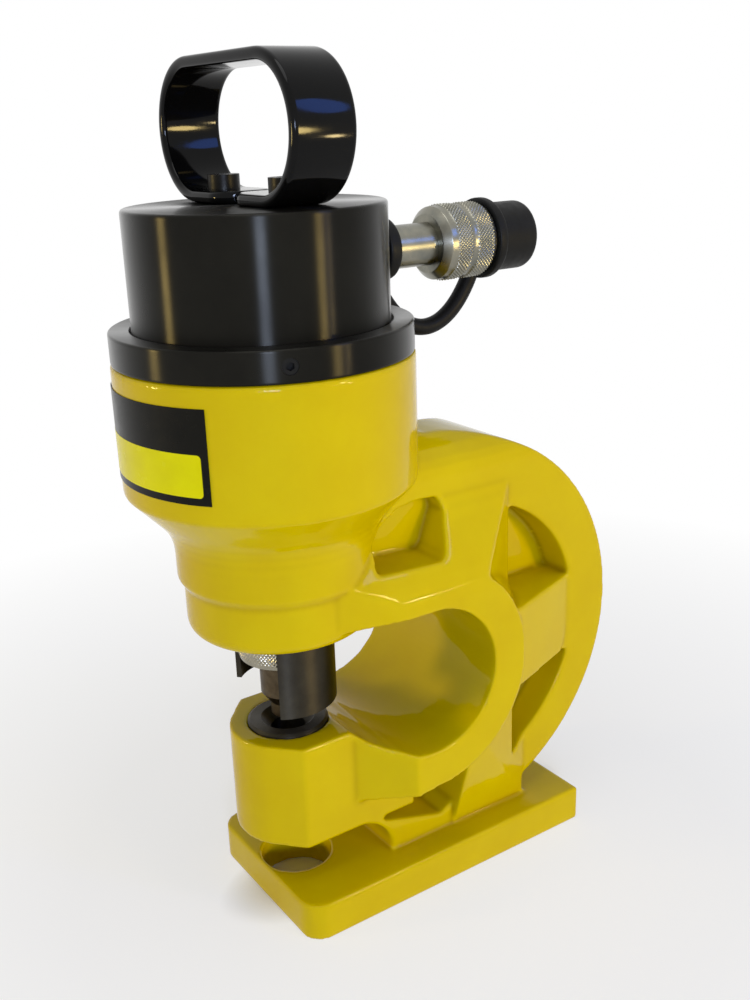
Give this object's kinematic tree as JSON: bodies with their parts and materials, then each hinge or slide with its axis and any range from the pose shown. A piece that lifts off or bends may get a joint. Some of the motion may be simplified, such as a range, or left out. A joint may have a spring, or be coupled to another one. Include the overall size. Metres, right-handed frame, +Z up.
{
  "type": "hydraulic hole punch",
  "caption": "Portable hydraulic hole punch: cast C-frame on a base plate, spring-return ram with punch, stripper and die, carry handle and capped quick coupler.",
  "frame": {"origin": "centre of the base plate's underside", "axes": "+Z up along the punch axis, die side and mouth towards -Y, coupler and round back towards +Y, +X the machine's right"},
  "size_m": [0.1208, 0.2273, 0.3627],
  "materials": {
    "yellow_enamel": "gloss enamel on a sand casting",
    "black_steel": "satin black oxide",
    "gloss_black": "gloss black paint",
    "bright_steel": "bright turned",
    "tool_steel": "dark tempered",
    "zinc": "zinc plated",
    "bronze": "plain bronze",
    "rubber": "satin",
    "label": "printed film, bare"
  },
  "bodies": {
    "frame": {"frame_casting": "yellow_enamel", "blank_label": "label", "hydraulic_cylinder": "black_steel", "cylinder_oring": "rubber", "lock_collar": "black_steel", "collar_set_screw": "black_steel", "carry_handle": "gloss_black", "handle_screws": "black_steel", "return_spring": "tool_steel", "rod_guide_bush": "bronze", "rod_wiper": "rubber", "stripper_screw": "black_steel", "die": "black_steel", "die_set_screw": "black_steel", "coupler_stem": "zinc", "port_washer": "rubber", "coupler_valve_body": "zinc", "poppet_spring": "tool_steel"},
    "ram": {"piston_ram": "bright_steel", "piston_seal": "rubber", "piston_wear_ring": "bronze", "punch": "tool_steel"},
    "punch_nut": {"punch_nut": "bright_steel"},
    "stripper": {"stripper": "black_steel"},
    "coupler_sleeve": {"coupler_sleeve": "zinc"},
    "coupler_poppet": {"coupler_poppet": "bright_steel"},
    "dust_cap": {"dust_cap": "rubber", "cap_strap": "rubber"}
  },
  "joints": [
    {"name": "ram_stroke", "type": "slide", "parent": "frame", "child": "ram", "axis": [0, 0, -1], "range_m": [-0.014, 0.01], "deforming": ["return_spring"]},
    {"name": "punch_nut_turn", "type": "hinge", "parent": "ram", "child": "punch_nut", "pos_m": [0, -0.0602, 0.1304], "axis": [0, 0, 1], "continuous": true},
    {"name": "stripper_adjust", "type": "slide", "parent": "frame", "child": "stripper", "axis": [0, 0, 1], "range_m": [0, 0.004]},
    {"name": "sleeve_spin", "type": "hinge", "parent": "frame", "child": "coupler_sleeve", "pos_m": [0, 0.0343, 0.2864], "axis": [0, 1, 0], "continuous": true},
    {"name": "poppet_push", "type": "slide", "parent": "frame", "child": "coupler_poppet", "axis": [0, -1, 0], "range_m": [0, 0.003], "stiffness_N_per_m": 200, "springref_m": -0.002, "deforming": ["poppet_spring"]},
    {"name": "cap_pull", "type": "slide", "parent": "frame", "child": "dust_cap", "axis": [0, 1, 0], "range_m": [0, 0.018]}
  ]
}
